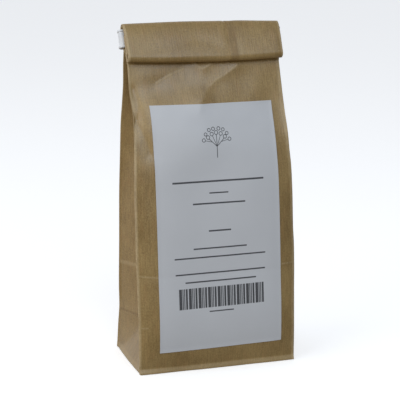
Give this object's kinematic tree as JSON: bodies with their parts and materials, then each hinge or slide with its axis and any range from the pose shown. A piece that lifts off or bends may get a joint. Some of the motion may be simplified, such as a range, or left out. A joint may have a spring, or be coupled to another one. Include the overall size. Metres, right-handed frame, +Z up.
{
  "type": "filled paper bag with rolled top and clip band",
  "caption": "Standing block-bottom kraft paper bag filled with dried berries, its gusseted top rolled shut and held by a bent clip band, with a large paper label in front",
  "frame": {"origin": "On the resting surface, under the middle of the bag's footprint: the middle of the bounding box's bottom face", "axes": "+Z up along the bag's height. +Y points to the bag's back, so the labelled front faces -Y. +X is to the right as seen from the front, along the bag's width and the roll"},
  "size_m": [0.074, 0.045, 0.148],
  "materials": {
    "kraft_paper": "ribbed brown kraft paper, slightly glazed, creased and folded",
    "label_paper": "matt white self-adhesive paper, printed black",
    "white_plastic": "semi-matt white polypropylene band",
    "steel_wire": "thin tinned wire",
    "dried_berry": "wrinkled dull purple-black dried fruit skin"
  },
  "bodies": {
    "root": {"paper_bag": "kraft_paper", "label": "label_paper", "clip_band": "white_plastic", "clip_wire_lower": "steel_wire", "clip_wire_upper": "steel_wire", "dried_elderberries": "dried_berry"}
  },
  "joints": []
}
